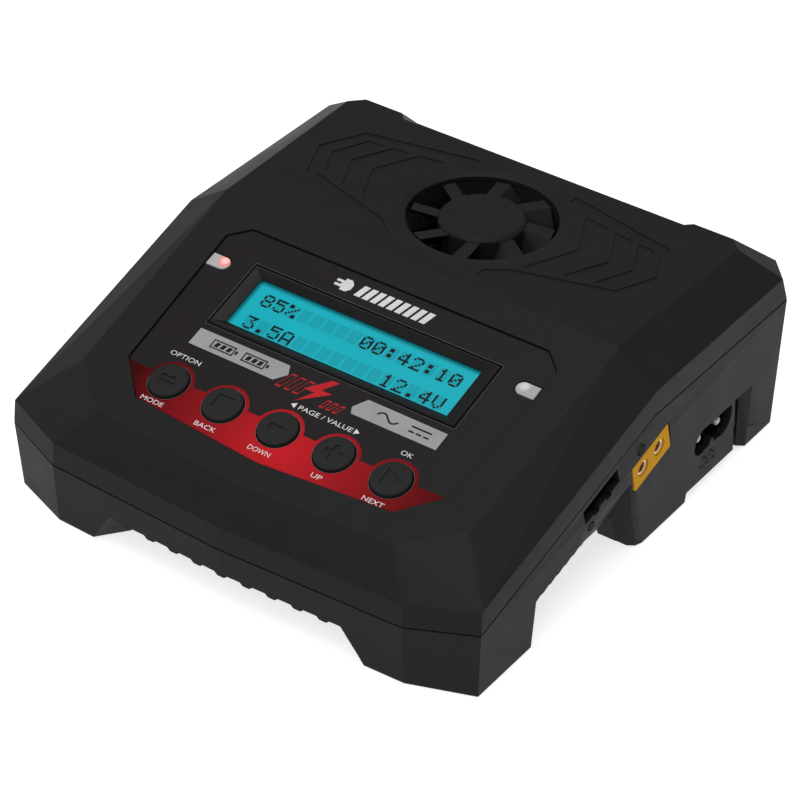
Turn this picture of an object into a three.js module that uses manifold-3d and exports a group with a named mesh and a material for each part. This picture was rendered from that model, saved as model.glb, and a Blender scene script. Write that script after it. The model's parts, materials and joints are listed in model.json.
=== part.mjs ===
// Dual-channel balance charger for model batteries: a faceted two-part case, a recessed control
// panel with five buttons and a display, a cooling fan, side sockets and the electronics inside.
// Millimetres. +X is the user's right, +Y the back, +Z up. The origin is the middle of the base.
import * as THREE from 'three';
import Module from 'manifold-3d';
import { ConvexGeometry } from 'three/addons/geometries/ConvexGeometry.js';
import { mergeVertices } from 'three/addons/utils/BufferGeometryUtils.js';

const wasm = await Module();
wasm.setup();

// ---------------------------------------------------------------- driving dimensions
const FAR = 90; // reach of cutters beyond the case
const centring = -0.4; // moves the finished case so that its box is centred on the origin

// case heights
const topZ = 54.3; // flat top
const soleZ = 0.4; // moulded feet; the rubber pads go down to 0
const plateZ = 9.6; // underside of the raised bottom plate
const wall = 2.2; // wall thickness
const floorZ = plateZ + wall; // inside floor

// lower walls: each leans outwards with height by its draft
const sideX = 66.5;
const sideDraft = 0.0475;
const frontY = -71.95; // front crease at the base
const frontSweep = 0.0348; // the front runs back by this much per mm of half width
const frontDraft = 0.096;
const frontCornerX = 50.4; // where the front meets the corner chamfer
const sideFrontY = -64.1; // where the corner chamfer meets the side
const cornerDraft = 0.0825;
const sideRearY = 68.1;
const rearCornerX = 60;
const rearY = 74.4;
const rearDraft = 0.052;

// joint between the shells: sloping at the front, level behind the kink
const kinkY = 5.0;
const kinkZ = 39.4;
const splitSlope = 0.283;
const splitGap = 0.4;

// upper edge of the band above the joint
const bandKinkY = 4.5;
const bandKinkZ = 46.7;
const bandSlope = 0.298;
const bandLean = 0.3;

// sloping panel and flat top
const breakY = 4.8; // line where the panel plane meets the flat top
const breakX = 56.6;
const panelAngle = Math.atan(0.3145);
const panelWall = 3.4; // thickness of the panel wall
const topRearX = 58;
const topRearY = 57.4;
const topTailX = 54.7;
const topTailY = 60.9;
const tailNotchX = 41.3; // half width of the step in the rear top edge
const tailNotchDepth = 2.3;

// control panel, in panel coordinates: x to the right, v down the slope, w out of the plane
const recessDepth = 1.2;
const recessHalf = [[42.9, 8.2], [47.9, 12.7], [46.2, 55.15], [36.8, 64.75], [1, 67.5]];
const lcd = { v: 27.4, width: 70.9, height: 20.3, windowLeft: -32.2, windowRight: 31.5, windowHeight: 14.8 };
const button = { v: 57.1, firstX: -32.7, pitch: 16, r: 5.0, top: 0.5 };
const led = { v: 20.4, inner: 41.6, outer: 47.3, r: 1.85 };
const play = 0.3; // clearance between neighbouring pieces

// fan in the flat top
const fan = { y: 33.1, bore: 19, rim: 21, frame: 40, height: 10, blades: 8, hub: 11 };
const rimDepth = 0.9;

// grooves in the flat top: right half, mirrored to the left
const grooveDepth = 0.3;
const contourOuter = [[14, 53.8], [45, 47.4], [51.1, 35.4], [46, 22.9], [19.5, 14.6], [13.6, 9.9]];
const contourInner = [[14, 51.2], [43.8, 45.0], [48.4, 34.9], [43.8, 24.4], [18.7, 16.8], [13.4, 12.6]];
const chevrons = [
  [[20.9, 47.4], [28, 46.5], [33.7, 34.3], [28.3, 21.7], [20.6, 19.3], [27.1, 33.8]],
  [[30.4, 46.0], [35.5, 45.3], [40.4, 34.7], [35.7, 23.7], [30.1, 22.1], [35.8, 33.9]],
  [[37.5, 45.1], [42.3, 44.5], [46.6, 34.8], [42.8, 26.2], [37.7, 24.0], [42.3, 34.4]],
];

// underside
const arch = { frontY: -42.3, innerX: 61, lowZ: 14.3, highY: -5.8, highZ: 24.2, footY: 3.2 };
// Two facets on the outer edge of the socket block: reach inwards, turn in plan, drop of the upper end.
const blockFacets = [{ reach: 2.6, turn: 1.45, drop: 3.4 }, { reach: 1.1, turn: 0.33, drop: 6.4 }];
const channel = { mouthX: 40, mouthTopX: 33.1, x: 34.5, topX: 28, mouthY: -63.5 };
const rib = { pitch: 7.1, count: 9, width: 3.8, drop: 1.1, front: -69.5, rear: -22 };

// sockets on the side walls: middle of each opening and its tilt along the sloping joint
const output = { y: 5.05, z: 27.1, width: 15.9, height: 8.1, pin: 7.2, depth: 15, well: 2.3 };
const balance = { y: -17.0, z: 28.9, width: 14.7, height: 4.4, pins: 5, pitch: 2.5, depth: 10 };
const inlet = { y: 36.0, z: 16.3, pin: 9.2, lobe: 4.75, r: 3.9, depth: 14 };
const inletWaist = { top: 1.35, low: 1.1 }; // angle left open on each lobe towards the middle
const inletCorner = { x: 0.92, y: 0.87, from: 0.15, to: 1.4 }; // squared upper corner of the rear lobe
const inletKey = { half: 0.55, foot: 1.1, top: -1.9 }; // polarising notch in the lower edge
const inletStep = { front: 26.5, rear: 50, low: 2.7, high: 11.4, depth: 0.25 };
const socketTilt = 0.282;
const slot = { frontTop: 45.7, frontLow: 50.1, rearTop: 54.1, rearLow: 55.5, top: 20.2, depth: 3 };
const slotRamp = { top: 50.9, low: 52.4, depth: 1.5 }; // rear wall of the slot runs out as a ramp

// electronics
const board = { x: 44, front: -46, rear: 57, z: 15, thick: 1.6 };
const post = { x: 50, front: -59, rear: 62, r: 3.6, pilot: 1.6, z: 12.2 };
const pad = { x: 58, front: -50, rear: 63, r: 4.5, thick: 1.4 };

// ---------------------------------------------------------------- materials
const material = (color, roughness, metalness = 0) =>
  new THREE.MeshStandardMaterial({ color, roughness, metalness });
const shellBlack = material('#2b2b2c', 0.6);
const overlayBlack = material('#2a2427', 0.2);
const bezelBlack = material('#1b1b1d', 0.35);
const displayCyan = material('#14b2c4', 0.15);
const rubberBlack = material('#1a1a1b', 0.75);
const socketYellow = material('#d9a21f', 0.45);
const socketBlack = material('#141414', 0.5);
const smokedLens = material('#b9a9a9', 0.3);
const gold = material('#c79a4b', 0.25, 1);
const nickel = material('#c8c8c8', 0.25, 1);
const aluminium = material('#a9acb0', 0.4, 1);
const boardGreen = material('#1f5a3a', 0.5);
const ferrite = material('#3a3a3d', 0.7);
const copper = material('#b5713c', 0.35, 1);
const sleeve = material('#23355f', 0.4);

// ---------------------------------------------------------------- shape helpers
function solid(geometry) {
  const bare = geometry.clone();
  bare.deleteAttribute('normal');
  bare.deleteAttribute('uv');
  const merged = mergeVertices(bare, 1e-4);
  const vertProperties = new Float32Array(merged.attributes.position.array);
  const triVerts = new Uint32Array(merged.index.array);
  return new wasm.Manifold(new wasm.Mesh({ numProp: 3, vertProperties, triVerts }));
}

function geometryOf(manifold) {
  const mesh = manifold.getMesh();
  const geometry = new THREE.BufferGeometry();
  geometry.setAttribute('position', new THREE.BufferAttribute(mesh.vertProperties, 3));
  geometry.setIndex(new THREE.BufferAttribute(mesh.triVerts, 1));
  return geometry;
}

const hull = (points) => new ConvexGeometry(points.map(([x, y, z]) => new THREE.Vector3(x, y, z)));
const mirrored = (points) => [...points, ...points.map(([x, ...rest]) => [-x, ...rest])];
const addAll = (solids) => solids.reduce((sum, next) => sum.add(next));
const cut = (body, cutters) => cutters.reduce((rest, cutter) => rest.subtract(cutter), body);

function outline(points) {
  return new THREE.Shape(points.map(([x, y]) => new THREE.Vector2(x, y)));
}

// Extrusion of a closed outline from z0 to z1.
function plate(shape, z0, z1, curveSegments = 12) {
  const settings = { depth: z1 - z0, bevelEnabled: false, curveSegments };
  return new THREE.ExtrudeGeometry(shape, settings).translate(0, 0, z0);
}

const block = (x0, x1, y0, y1, z0, z1) =>
  new THREE.BoxGeometry(x1 - x0, y1 - y0, z1 - z0).translate((x0 + x1) / 2, (y0 + y1) / 2, (z0 + z1) / 2);

const rod = (r, z0, z1, sides = 20) =>
  new THREE.CylinderGeometry(r, r, z1 - z0, sides).rotateX(Math.PI / 2).translate(0, 0, (z0 + z1) / 2);

// Solid of revolution about Z from [radius, height] pairs that start and end on the axis.
const turned = (profile, sides = 24) =>
  new THREE.LatheGeometry(profile.map(([r, z]) => new THREE.Vector2(r, z)), sides).rotateX(Math.PI / 2);

// Prism whose outline lies in the YZ plane, running along X.
function prismAlongX(points, x0, x1) {
  const axes = [new THREE.Vector3(0, 1, 0), new THREE.Vector3(0, 0, 1), new THREE.Vector3(1, 0, 0)];
  return plate(outline(points), x0, x1).applyMatrix4(new THREE.Matrix4().makeBasis(...axes));
}

// Moves every edge of a convex, counter-clockwise outline inwards by d.
function shrink(points, d) {
  const count = points.length;
  const edges = points.map(([x, y], i) => {
    const [nx, ny] = points[(i + 1) % count];
    const length = Math.hypot(nx - x, ny - y);
    const a = -(ny - y) / length;
    const b = (nx - x) / length;
    return { a, b, c: a * x + b * y + d };
  });
  return edges.map((edge, i) => {
    const last = edges[(i + count - 1) % count];
    const det = last.a * edge.b - edge.a * last.b;
    return [(last.c * edge.b - edge.c * last.b) / det, (last.a * edge.c - edge.a * last.c) / det];
  });
}

function roundedRectangle(width, height, r) {
  const x = width / 2;
  const y = height / 2;
  const shape = new THREE.Shape();
  shape.moveTo(-x + r, -y);
  shape.lineTo(x - r, -y);
  shape.absarc(x - r, -y + r, r, -Math.PI / 2, 0);
  shape.absarc(x - r, y - r, r, 0, Math.PI / 2);
  shape.absarc(-x + r, y - r, r, Math.PI / 2, Math.PI);
  shape.absarc(-x + r, -y + r, r, Math.PI, 1.5 * Math.PI);
  return shape;
}

// ---------------------------------------------------------------- placing
const group = new THREE.Group();
group.position.y = centring;

function add(name, geometry, finish, parent = group) {
  const mesh = new THREE.Mesh(geometry, finish);
  mesh.name = name;
  parent.add(mesh);
}

function framed(matrix) {
  const frame = new THREE.Group();
  frame.applyMatrix4(matrix);
  group.add(frame);
  return frame;
}

// Frame on the panel plane: x right, y up the slope, z out of the panel, origin at the break line.
const panelMatrix = new THREE.Matrix4().makeRotationX(panelAngle).setPosition(0, breakY, topZ);
const wallX = (z) => sideX + sideDraft * z;

// Frame on a side wall (side is 1 right, -1 left): x along the wall, y up, z outwards.
function sideMatrix(side, y, z, tilt) {
  const along = new THREE.Vector3(0, side * Math.cos(tilt), side * Math.sin(tilt));
  const up = new THREE.Vector3(0, -Math.sin(tilt), Math.cos(tilt));
  const out = new THREE.Vector3(side, 0, 0);
  return new THREE.Matrix4().makeBasis(along, up, out).setPosition(side * wallX(z), y, z);
}

const inFrame = (matrix, geometry) => solid(geometry.applyMatrix4(matrix));

// ---------------------------------------------------------------- outer form of the case
const panelZ = (y) => topZ + Math.tan(panelAngle) * (y - breakY);
const frontWallY = (x, z) => frontY + frontSweep * x - frontDraft * z;

// Height at which a wall line y = y0 - draft * z meets the sloping joint.
const splitHeight = (y0, draft) => (kinkZ + splitSlope * (y0 - kinkY)) / (1 + splitSlope * draft);
const bandHeight = (y) => bandKinkZ + bandSlope * (y - bandKinkY);

function lowerCorners(z) {
  return [
    [0, frontWallY(0, z), z],
    [frontCornerX, frontWallY(frontCornerX, z), z],
    [wallX(z), sideFrontY - cornerDraft * z, z],
    [wallX(z), sideRearY - rearDraft * z, z],
    [rearCornerX + rearDraft * z, rearY - rearDraft * z, z],
  ];
}

// Corner points of the right half, inset by t from the outer faces.
function caseCorners(t) {
  const frontSplit = splitHeight(frontY, frontDraft);
  const cornerSplit = splitHeight(frontWallY(frontCornerX, 0), frontDraft);
  const sideSplit = splitHeight(sideFrontY, cornerDraft);
  const rearSplit = lowerCorners(kinkZ).slice(3);
  const split = [
    [0, frontWallY(0, frontSplit), frontSplit],
    [frontCornerX, frontWallY(frontCornerX, cornerSplit), cornerSplit],
    [wallX(sideSplit), sideFrontY - cornerDraft * sideSplit, sideSplit],
    [wallX(kinkZ), kinkY, kinkZ],
    ...rearSplit,
  ];
  const lean = ([x, y], z) => [x - Math.sign(x) * bandLean, y - Math.sign(y) * bandLean, z];
  const band = [
    ...split.slice(0, 3).map((p) => lean(p, bandHeight(p[1]))),
    [wallX(kinkZ) - bandLean, bandKinkY, bandKinkZ],
    [wallX(kinkZ) - bandLean, 63.2, bandKinkZ],
    [rearCornerX + 2.5, 69.5, bandKinkZ],
  ];
  const inwards = (points) =>
    points.map(([x, y, z]) => [x - Math.sign(x) * t, y - Math.sign(y) * t, z - t * (z / topZ) ** 2]);
  const panelDrop = t > 0 ? panelWall / Math.cos(panelAngle) : 0;
  const innerBreak = (panelDrop - t) / Math.tan(panelAngle);
  const panel = [[0, -66.5], [42.4, -64.15], [55.3, -53.7]];
  return [
    ...inwards(lowerCorners(soleZ)),
    ...inwards(split),
    ...inwards(band),
    ...panel.map(([x, y]) => [Math.max(x - t, 0), y + t, panelZ(y + t) - panelDrop]),
    [breakX - t, breakY + innerBreak, topZ - t],
    [topRearX - t, topRearY - t, topZ - t],
    [topTailX - t, topTailY - t, topZ - t],
  ];
}

const outerForm = solid(hull(mirrored(caseCorners(0))));
const innerForm = solid(hull(mirrored(caseCorners(wall))));

// Everything below the joint surface, moved up by dz.
function belowSplit(dz) {
  const lowest = kinkZ + splitSlope * (-FAR - kinkY);
  const profile = [[-FAR, -FAR], [FAR, -FAR], [FAR, kinkZ + dz], [kinkY, kinkZ + dz], [-FAR, lowest + dz]];
  return solid(prismAlongX(profile, -FAR, FAR));
}

// ---------------------------------------------------------------- socket outlines
const polar = (r, angle) => [r * Math.cos(angle), r * Math.sin(angle)];

// Figure-of-eight opening: two lobes, a shallow waist above, a polarising notch below and one
// squared corner on the rear lobe.
function figureEight(inset) {
  const r = inlet.r - inset;
  const arc = (side, from, to, steps) => Array.from({ length: steps + 1 }, (unused, i) => {
    const [x, y] = polar(r, THREE.MathUtils.lerp(from, to, i / steps));
    return [side * (inlet.lobe + x), side * y];
  });
  const low = -r * Math.sin(inletWaist.low);
  const foot = inletKey.foot + inset;
  const half = inletKey.half + inset;
  const top = inletKey.top + inset;
  return [
    ...arc(1, inletWaist.low - Math.PI, inletCorner.from, 6),
    [inlet.lobe + r * inletCorner.x, r * inletCorner.y],
    ...arc(1, inletCorner.to, Math.PI - inletWaist.top, 2),
    ...arc(-1, inletWaist.top - Math.PI, Math.PI - inletWaist.low, 10),
    [-foot, low],
    [-half, top],
    [half, top],
    [foot, low],
  ];
}

function balanceOpening(extra) {
  const x = balance.width / 2 + extra;
  const top = balance.height / 2 + extra;
  const low = -top;
  const keyHalf = 1.1;
  const keyDrop = 1.0;
  const keyX = 2.6;
  const keys = [-keyX, keyX].flatMap((k) => [
    [k - keyHalf, low],
    [k - keyHalf, low - keyDrop],
    [k + keyHalf, low - keyDrop],
    [k + keyHalf, low],
  ]);
  return outline([[-x, top], [-x, low], ...keys, [x, low], [x, top]]);
}

const outputSides = [1, -1].map((side) => ({
  side,
  name: side > 0 ? 'right' : 'left',
  output: sideMatrix(side, output.y, output.z, socketTilt),
  balance: sideMatrix(side, balance.y, balance.z, socketTilt),
}));
const acFrame = sideMatrix(1, inlet.y, inlet.z, 0);
const dcFrame = sideMatrix(-1, inlet.y, inlet.z, 0);

// ---------------------------------------------------------------- bottom shell
// Forward wall of the socket block: it leans forward with height.
const blockWallY = (z) => arch.footY - ((arch.footY - arch.highY) * z) / arch.highZ;

// Hollow between the front foot and the socket block. Its ceiling twists from level inside to
// the sloping lower edge of the side wall, so it is cut in strips along Y.
function archCutter(side, grow) {
  const outerX = 72;
  const strips = 12;
  const reach = (outerX - arch.innerX) / (wallX(20) - arch.innerX);
  const x0 = arch.innerX - grow;
  const leanAt = (z) => blockWallY(z) + grow;
  const section = (t) => {
    const y = THREE.MathUtils.lerp(arch.frontY - grow, arch.highY + grow, t);
    const edge = THREE.MathUtils.lerp(arch.lowZ, arch.highZ, t);
    const outerZ = plateZ + (edge - plateZ) * reach;
    return [[x0, y, plateZ + grow], [outerX, y, outerZ + grow], [x0, y, -1], [outerX, y, -1]];
  };
  const pieces = [];
  for (let i = 0; i < strips; i += 1) {
    pieces.push([...section(i / strips), ...section((i + 1) / strips)]);
  }
  const [inner, outer, ...low] = section(1);
  const foot = [[x0, leanAt(-1), -1], [outerX, leanAt(-1), -1]];
  const head = [[x0, leanAt(plateZ), plateZ + grow], [outerX, outer[1], outer[2]]];
  pieces.push([inner, outer, ...low, ...foot, ...head]);
  const top = arch.highZ - 0.6;
  for (const { reach, turn, drop } of blockFacets) {
    const x = (z) => wallX(z) - reach - grow;
    const run = (outerX - x(0)) / turn;
    const outerTop = arch.highZ - drop;
    pieces.push([
      [x(-1), leanAt(-1) - 1, -1],
      [outerX, leanAt(-1) - 1, -1],
      [x(-1), leanAt(-1), -1],
      [outerX, leanAt(-1) + run, -1],
      [x(top), leanAt(top) - 1, top],
      [x(top), leanAt(top), top],
      [outerX, leanAt(outerTop) + run, outerTop],
    ]);
  }
  return addAll(pieces.map((points) => solid(hull(points.map(([x, y, z]) => [side * x, y, z])))));
}

function channelCutter() {
  const section = (y, low, high) =>
    mirrored([[low + (low - high) / plateZ, y, -1], [high, y, plateZ]]);
  const mouth = [...section(-FAR, channel.mouthX + 8, channel.mouthTopX + 8),
    ...section(-70.8, channel.mouthX, channel.mouthTopX)];
  const throat = [...section(-70.8, channel.mouthX, channel.mouthTopX),
    ...section(channel.mouthY, channel.x, channel.topX)];
  const run = [...section(channel.mouthY, channel.x, channel.topX), ...section(FAR, channel.x, channel.topX)];
  return [mouth, throat, run].map((points) => solid(hull(points)));
}

function ventSlots() {
  const slots = [];
  for (let i = 0; i < rib.count - 1; i += 1) {
    const x = (i - (rib.count - 2) / 2) * rib.pitch;
    const half = (rib.pitch - rib.width) / 2 - 0.3;
    slots.push(solid(block(x - half, x + half, rib.front + 9, rib.rear - 4, plateZ - 2, floorZ + 1)));
  }
  return slots;
}

function ribs() {
  const bars = [];
  for (let i = 0; i < rib.count; i += 1) {
    const x = (i - (rib.count - 1) / 2) * rib.pitch;
    const w = rib.width / 2;
    const low = plateZ - rib.drop;
    const section = (y) => [[x - w, y, plateZ + 0.5], [x + w, y, plateZ + 0.5],
      [x + w, y, plateZ - 0.3], [x - w, y, plateZ - 0.3], [x + w * 0.5, y, low], [x - w * 0.5, y, low]];
    const front = frontWallY(Math.abs(x), plateZ) + 0.4;
    bars.push(solid(hull([...section(front), ...section(rib.rear)])));
  }
  return bars;
}

// Thicker wall behind the cable slot, kept out of the cavity.
const slotBacking = (side) => {
  const [inner, outer] = [wallX(10) - slot.depth - wall, FAR];
  const [x0, x1] = side > 0 ? [inner, outer] : [-outer, -inner];
  return solid(block(x0, x1, slot.frontTop - 0.4, slot.rearLow + wall, 5, slot.top + wall));
};

// Shallow step in the side wall below the mains inlet.
function stepCutter() {
  const { front, rear, low, high, depth } = inletStep;
  const points = [low, high].flatMap((z) => [front, rear].flatMap((y) =>
    [[wallX(z) - depth, y, z], [FAR, y, z]]));
  return solid(hull(points));
}

// Recess for a cable beside the inlet: a deep groove whose rear wall runs out as a shallow ramp.
function slotCutter(side) {
  const corner = (x, y, z) => [side * x, y, z];
  const surface = wallX(10);
  const section = (rearTop, rearLow, depth) => [surface - depth, FAR].flatMap((x) => [
    corner(x, slot.frontTop, slot.top),
    corner(x, slot.frontLow, -1),
    corner(x, rearTop, slot.top),
    corner(x, rearLow, -1),
  ]);
  const ramp = [[slot.rearTop, slot.top], [slot.rearLow, -1]].flatMap(([y, z]) =>
    [wallX(z), FAR].map((x) => corner(x, y, z)));
  const deep = section(slotRamp.top, slotRamp.low, slot.depth);
  const shallow = [...section(slotRamp.top, slotRamp.low, slotRamp.depth), ...ramp];
  return addAll([deep, shallow].map((points) => solid(hull(points))));
}

const rearVentX = [-38, -30, -22, -14, -6, 2, 10, 18, 26, 34].map((x) => x + 2);
const screwHeadTop = 7;
const corners = [1, -1].flatMap((side) => [
  { side, place: 'front', postY: post.front, padY: pad.front },
  { side, place: 'rear', postY: post.rear, padY: pad.rear },
]);

function bottomShell() {
  const aboveFloor = solid(block(-FAR, FAR, -FAR, FAR, floorZ, FAR));
  const archWalls = [1, -1].map((side) => archCutter(side, wall));
  const cavity = cut(innerForm.intersect(aboveFloor), [...archWalls, slotBacking(1), slotBacking(-1)]);
  const openings = [
    ...outputSides.flatMap((s) => [
      inFrame(s.output, plate(roundedRectangle(output.width + 0.6, output.height + 0.6, 0.5), -6, 4, 2)),
      inFrame(s.balance, plate(balanceOpening(0), -6, 4)),
    ]),
    inFrame(acFrame, plate(outline(figureEight(0)), -6, 4)),
    inFrame(dcFrame, plate(roundedRectangle(output.width + 0.6, output.height + 0.6, 0.5), -6, 4, 2)),
  ];
  const underPlate = [[arch.frontY, -1], [blockWallY(-1), -1], [blockWallY(plateZ), plateZ],
    [arch.frontY, plateZ]];
  const archX = arch.innerX + 0.1;
  const relief = [[26.3, -1], [slot.rearLow, -1], [slot.rearLow, soleZ - 0.1], [slot.frontLow, 2.8],
    [26.3, 2.8]];
  const hollows = [1, -1].flatMap((side) => {
    const mirror = (x0, x1, ...rest) => solid(side > 0 ? block(x0, x1, ...rest) : block(-x1, -x0, ...rest));
    return [
      mirror(39.5, 46, -60, -46, 3.4, floorZ + 1),
      mirror(40, 65, 10, 45.7, 5, floorZ + 1),
      mirror(50, 56, arch.footY - 8, arch.footY + 5, -1, plateZ),
      mirror(57, 65, slot.frontTop + 1.2, slot.frontTop + 4.4, 4, slot.top - 1.5),
    ];
  });
  const mounts = corners.flatMap(({ side, postY, padY }) => [
    solid(rod(3.3, -1, screwHeadTop).translate(side * post.x, postY, 0)),
    solid(rod(1.7, -1, floorZ + 1).translate(side * post.x, postY, 0)),
    solid(rod(pad.r + play, -1, pad.thick + play).translate(side * pad.x, padY, 0)),
  ]);
  const reliefs = [[50, FAR], [-FAR, -50]].map(([x0, x1]) => solid(prismAlongX(relief, x0, x1)));
  const rearVents = rearVentX.map((x) => solid(block(x, x + 4, 60, FAR, 20, 34)));
  const standoffs = [1, -1].flatMap((side) => [board.front + 6, board.rear - 6].map((y) =>
    solid(rod(2.6, floorZ - 1, board.z - play, 12).translate(side * (board.x - 5), y, 0))));
  const body = cut(outerForm.intersect(belowSplit(-splitGap / 2)), [
    cavity,
    ...[1, -1].map((side) => archCutter(side, 0)),
    ...channelCutter(),
    solid(prismAlongX(underPlate, -archX, archX)),
    ...hollows,
    ...reliefs,
    stepCutter(),
    slotCutter(1),
    slotCutter(-1),
    ...mounts,
    ...openings,
    ...rearVents,
  ]);
  return cut(addAll([body, ...ribs(), ...standoffs]), ventSlots());
}

// ---------------------------------------------------------------- top shell
const panelPoint = ([x, v]) => [x, -v];
const recessOutline = [
  ...recessHalf.map(panelPoint).reverse(),
  ...recessHalf.map(([x, v]) => panelPoint([-x, v])),
];

function ledOutline(side, extra, outer) {
  const r = led.r + extra;
  const shape = new THREE.Shape();
  const near = led.inner + led.r;
  const start = Math.PI / 2;
  shape.moveTo(side * outer, -r);
  shape.lineTo(side * outer, r);
  shape.absarc(side * near, 0, r, start, side > 0 ? start + Math.PI : start - Math.PI, side < 0);
  return shape;
}

const buttonX = (i) => button.firstX + i * button.pitch;

function grooves() {
  const floor = topZ - grooveDepth;
  const both = (points) => [points, points.map(([x, y]) => [-x, y]).reverse()];
  const rings = [...both(contourOuter)].map((points, i) => {
    const inner = both(contourInner)[i];
    const body = solid(plate(outline(points), floor, topZ + 1));
    return body.subtract(solid(plate(outline(inner), floor - 1, topZ + 2)));
  });
  const bands = chevrons.flatMap(both).map((points) => solid(plate(outline(points), floor, topZ + 1)));
  return [...rings, ...bands];
}

function topShell() {
  const recess = inFrame(panelMatrix, plate(outline(recessOutline), -recessDepth, 5));
  const through = (shape, segments) => inFrame(panelMatrix, plate(shape, -panelWall - 4, 1, segments));
  const lcdHole = outline([
    [-lcd.width / 2 - play, -lcd.v - lcd.height / 2 - play],
    [lcd.width / 2 + play, -lcd.v - lcd.height / 2 - play],
    [lcd.width / 2 + play, -lcd.v + lcd.height / 2 + play],
    [-lcd.width / 2 - play, -lcd.v + lcd.height / 2 + play],
  ]);
  const buttonHoles = [0, 1, 2, 3, 4].map((i) => {
    const hole = rod(button.r + play, -panelWall - 4, 1, 24).translate(buttonX(i), -button.v, 0);
    return inFrame(panelMatrix, hole);
  });
  const ledHoles = [1, -1].map((side) => {
    const hole = plate(ledOutline(side, play, led.outer + play), -panelWall - 4, 1, 8);
    return inFrame(panelMatrix, hole.translate(0, -led.v, 0));
  });
  const fanHole = turned([[0, topZ - 12], [fan.bore, topZ - 12], [fan.bore, topZ - rimDepth],
    [fan.rim, topZ], [fan.rim, topZ + 1], [0, topZ + 1]], 48).translate(0, fan.y, 0);
  const facetRun = (69.5 - topTailY) / (topZ - bandKinkZ);
  const step = (z) => topTailY - tailNotchDepth + (topZ - z) * facetRun;
  const notchLow = bandKinkZ + 0.8;
  const notch = hull(mirrored([
    [tailNotchX, step(notchLow), notchLow],
    [tailNotchX, step(topZ + 1), topZ + 1],
    [tailNotchX + 6, step(notchLow) + 6, notchLow],
    [tailNotchX + 6, step(topZ + 1) + 6, topZ + 1],
  ]));
  const shell = cut(outerForm, [
    belowSplit(splitGap / 2),
    innerForm,
    recess,
    through(lcdHole, 1),
    ...buttonHoles,
    ...ledHoles,
    solid(fanHole),
    solid(notch),
    ...grooves(),
  ]);
  const posts = corners.map(({ side, place, postY }) => {
    const top = place === 'front' ? panelZ(postY) - panelWall + 0.6 : topZ - wall + 0.6;
    return solid(rod(post.r, post.z, top, 16).translate(side * post.x, postY, 0));
  });
  const pilots = corners.map(({ side, postY }) =>
    solid(rod(post.pilot, post.z - 1, 26, 12).translate(side * post.x, postY, 0)));
  return cut(addAll([shell, ...posts.map((p) => p.intersect(outerForm))]), pilots);
}

add('bottom_shell', geometryOf(bottomShell()), shellBlack);
add('top_shell', geometryOf(topShell()), shellBlack);

for (const { side, place, postY, padY } of corners) {
  const name = `${side > 0 ? 'right' : 'left'}_${place}`;
  const sole = turned([[0, 0], [pad.r - 0.4, 0], [pad.r, 0.4], [pad.r, pad.thick], [0, pad.thick]], 16);
  add(`foot_pad_${name}`, sole.translate(side * pad.x, padY, 0), rubberBlack);
  const headLow = screwHeadTop - 2.3;
  const screw = turned([[0, headLow], [2.2, headLow], [2.7, headLow + 0.6], [2.7, headLow + 2],
    [1.25, headLow + 2], [1.25, 22], [0, 23]], 10);
  add(`case_screw_${name}`, screw.translate(side * post.x, postY, 0), nickel);
}

// ---------------------------------------------------------------- control panel
const panel = framed(panelMatrix);
const overlayTop = -0.5;

function panelOverlay() {
  const sheet = solid(plate(outline(shrink(recessOutline, play)), overlayTop - 0.4, overlayTop));
  const window = block(-lcd.width / 2 - play, lcd.width / 2 + play, -lcd.v - lcd.height / 2 - play,
    -lcd.v + lcd.height / 2 + play, -2, 1);
  const holes = [0, 1, 2, 3, 4].map((i) => solid(rod(button.r + play, -2, 1, 24)
    .translate(buttonX(i), -button.v, 0)));
  const lamps = [1, -1].map((side) => solid(plate(ledOutline(side, play, led.outer + 3), -2, 1, 8)
    .translate(0, -led.v, 0)));
  return cut(sheet, [solid(window), ...holes, ...lamps]);
}

function lcdBezel() {
  const back = -1.7;
  const front = -0.1;
  const lip = back + 0.3;
  const rim = 0.9;
  const rect = (x0, x1, h, z) => [x0, x1].flatMap((x) => [[x, h / 2, z], [x, -h / 2, z]]);
  const ring = (inset, z) => rect(inset - lcd.width / 2, lcd.width / 2 - inset, lcd.height - 2 * inset, z);
  const window = (z) => rect(lcd.windowLeft, lcd.windowRight, lcd.windowHeight, z);
  const frame = hull([...ring(0, back), ...ring(0, front - 0.4), ...ring(0.4, front)]);
  const slope = hull([...window(lip), ...ring(rim, front), ...ring(rim, front + 1)]);
  return cut(solid(frame), [solid(slope), solid(hull([...window(back - 1), ...window(front)]))]);
}

add('panel_overlay', geometryOf(panelOverlay()), overlayBlack, panel);
add('lcd_bezel', geometryOf(lcdBezel()).translate(0, -lcd.v, 0), bezelBlack, panel);
const glass = plate(roundedRectangle(69, 18.6, 0.6), -3.2, -2.0, 2).translate(0, -lcd.v, 0);
add('lcd_glass', glass, displayCyan, panel);
add('lcd_module', block(-36, 36, -lcd.v - 13.4, -lcd.v + 13.4, -8.5, -3.8), bezelBlack, panel);

const boardTop = -8.8;
const boardLow = boardTop - 1.6;
const panelBoardOutline = outline([[44, -64], [44, -27], [48.5, -25], [48.5, -15], [44, -12],
  [-44, -12], [-48.5, -15], [-48.5, -25], [-44, -27], [-44, -64]]);
add('panel_board', plate(panelBoardOutline, boardLow, boardTop), boardGreen, panel);

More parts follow.
